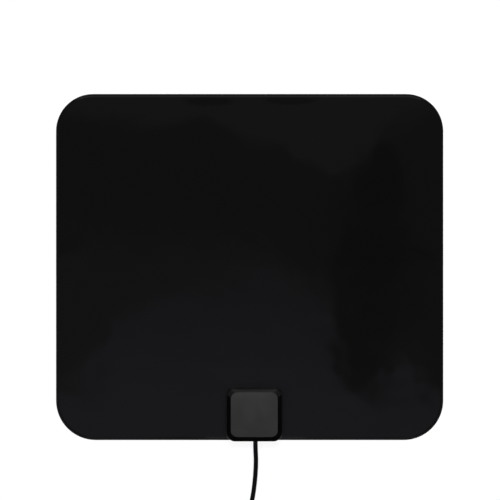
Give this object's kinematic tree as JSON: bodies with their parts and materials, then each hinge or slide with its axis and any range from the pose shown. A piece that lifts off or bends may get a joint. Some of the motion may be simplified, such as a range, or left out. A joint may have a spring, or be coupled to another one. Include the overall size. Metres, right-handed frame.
{
  "type": "flat indoor tv antenna",
  "caption": "Flat indoor TV antenna: glossy black laminated sheet with rounded corners, small bevelled feed housing at its lower edge, and a thin coaxial lead with an aerial plug.",
  "frame": {"origin": "middle of the antenna's outline, on the plane of its back, without the lead", "axes": "+X to the right and +Y up on the front face, +Z out of the front; the lead leaves towards -Y"},
  "size_m": [0.235, 0.3096, 0.0122],
  "materials": {
    "sheet_film": "glossy black film",
    "housing_plastic": "fine moulded texture, polished bevels",
    "element_foil": "bright rolled foil",
    "gasket_adhesive": "pale adhesive film",
    "screw_steel": "zinc plated",
    "board_laminate": "green solder mask",
    "contact_brass": "bright",
    "core_ferrite": "matte dark grey",
    "winding_copper": "enamelled copper",
    "chip_ceramic": "matte",
    "tie_nylon": "satin black",
    "braid_copper": "tinned copper",
    "dielectric_plastic": "translucent white",
    "cable_jacket": "satin black",
    "grip_plastic": "satin black moulding",
    "plug_metal": "bright nickel",
    "plug_insulation": "white"
  },
  "bodies": {
    "root": {"rear_sheet": "sheet_film", "front_sheet": "sheet_film", "left_foil_element": "element_foil", "right_foil_element": "element_foil", "housing_front_cover": "housing_plastic", "housing_rear_cover": "housing_plastic", "adhesive_gasket": "gasket_adhesive", "housing_screws": "screw_steel", "circuit_board": "board_laminate", "left_contact": "contact_brass", "right_contact": "contact_brass", "balun_core": "core_ferrite", "balun_windings": "winding_copper", "chip_capacitors": "chip_ceramic", "strain_relief_tie": "tie_nylon", "cable_end": "cable_jacket", "coax_braid": "braid_copper", "coax_dielectric": "dielectric_plastic", "coax_conductor": "winding_copper", "cable_lead": "cable_jacket", "cable_coil": "cable_jacket", "coil_tie": "tie_nylon", "cable_tail": "cable_jacket", "plug_grip": "grip_plastic", "plug_shell": "plug_metal", "plug_insulator": "plug_insulation", "plug_pin": "plug_metal"}
  },
  "joints": []
}
